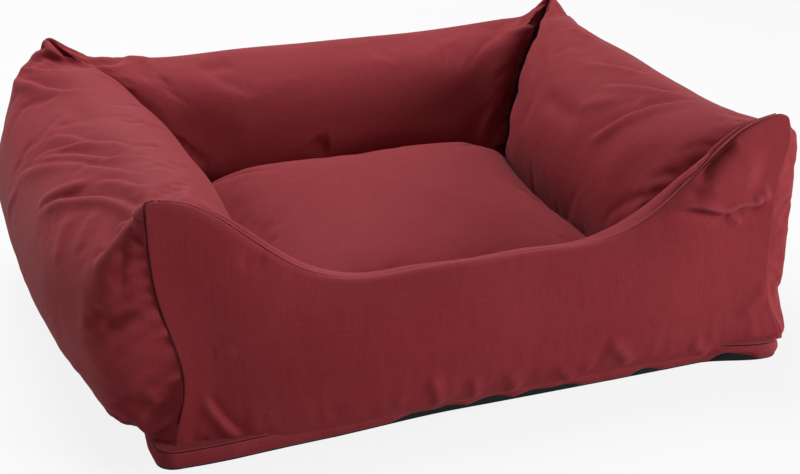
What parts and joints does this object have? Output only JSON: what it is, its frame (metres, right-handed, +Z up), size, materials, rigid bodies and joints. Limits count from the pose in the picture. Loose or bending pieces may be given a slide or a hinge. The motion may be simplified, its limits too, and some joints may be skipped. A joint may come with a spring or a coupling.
{
  "type": "pet bed",
  "caption": "Rectangular pet bed with high stuffed cloth walls, a low cut-away front entry, a base mat with an anti-slip underside and a loose crowned cushion with a zipped cover",
  "frame": {"origin": "on the floor, in the middle of the four corner seams", "axes": "+X to the right, +Y to the back wall, +Z up"},
  "size_m": [0.6062, 0.4724, 0.2062],
  "materials": {
    "red_canvas": "matte",
    "red_seam": "matte",
    "fibre_filling": "matte",
    "zip_tape": "matte",
    "zip_plastic": "satin",
    "black_underside": "matte"
  },
  "bodies": {
    "bed": {"back_wall_cover": "red_canvas", "left_wall_cover": "red_canvas", "right_wall_cover": "red_canvas", "front_outer_panel": "red_canvas", "front_inner_panel": "red_canvas", "base_top_cloth": "red_canvas", "base_edge_band": "red_canvas", "front_top_seam": "red_seam", "front_left_corner_seam": "red_seam", "front_right_corner_seam": "red_seam", "back_left_corner_seam": "red_seam", "back_right_corner_seam": "red_seam", "back_wall_filling": "fibre_filling", "left_wall_filling": "fibre_filling", "right_wall_filling": "fibre_filling", "front_wall_filling": "fibre_filling", "base_pad_core": "fibre_filling", "base_underside": "black_underside"},
    "cushion": {"cushion_top_panel": "red_canvas", "cushion_bottom_panel": "red_canvas", "cushion_edge_seam": "red_seam", "cushion_filling": "fibre_filling", "zip_tape_upper": "zip_tape", "zip_tape_lower": "zip_tape", "zip_teeth_upper": "zip_plastic", "zip_teeth_lower": "zip_plastic", "zip_end_stops": "zip_plastic"},
    "zip_slider": {"zip_slider": "zip_plastic"}
  },
  "joints": [
    {"name": "cushion_lift", "type": "slide", "parent": "bed", "child": "cushion", "axis": [0, 0, 1], "range_m": [0, 0.25]},
    {"name": "zip_slide", "type": "slide", "parent": "cushion", "child": "zip_slider", "axis": [-1, 0, 0], "range_m": [0, 0.208]}
  ]
}
